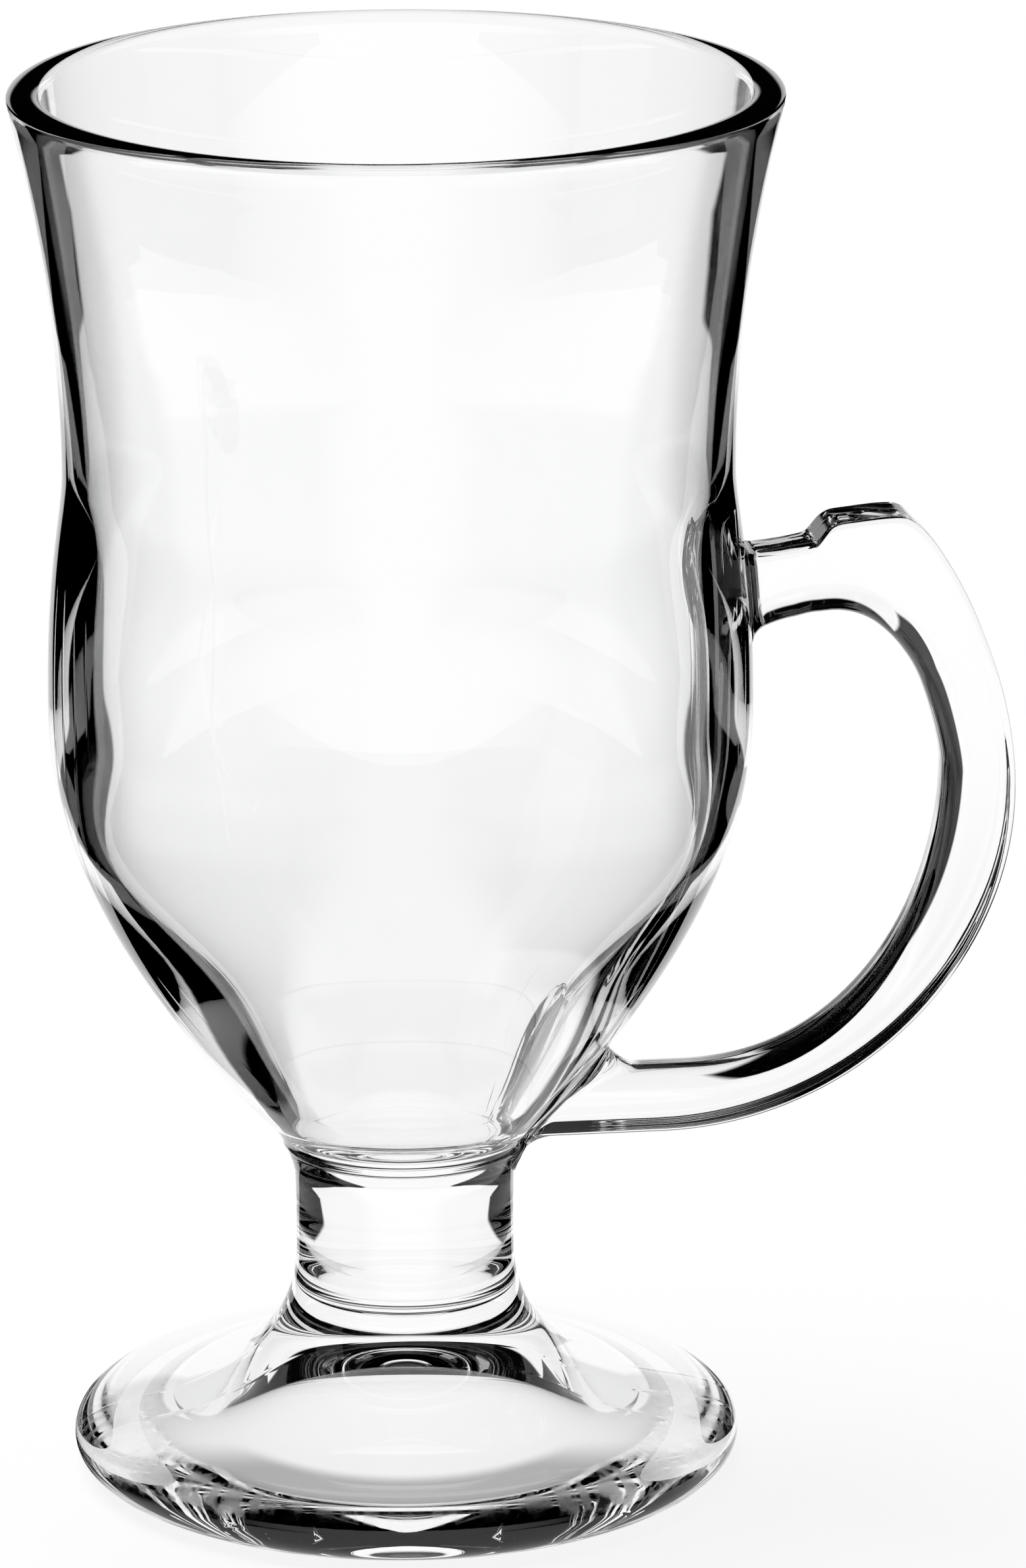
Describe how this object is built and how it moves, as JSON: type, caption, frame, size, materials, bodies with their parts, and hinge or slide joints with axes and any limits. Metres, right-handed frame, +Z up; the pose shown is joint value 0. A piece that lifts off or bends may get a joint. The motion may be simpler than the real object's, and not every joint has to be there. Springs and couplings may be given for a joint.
{
  "type": "footed glass coffee mug",
  "caption": "Clear glass mug for irish coffee: a flared bowl on a short stem and a domed foot, with a loop handle and thumb rest.",
  "frame": {"origin": "the mug's axis at table level, in the plane that the foot's ring rests on", "axes": "+Z up along the mug's axis to the lip, +X from the axis towards the handle, +Y across, so the handle's mid-plane is y = 0"},
  "size_m": [0.0995, 0.076, 0.142],
  "materials": {
    "clear_glass": "clear, fire-polished soda-lime glass"
  },
  "bodies": {
    "root": {"bowl": "clear_glass", "stem": "clear_glass", "foot": "clear_glass", "handle": "clear_glass"}
  },
  "joints": []
}
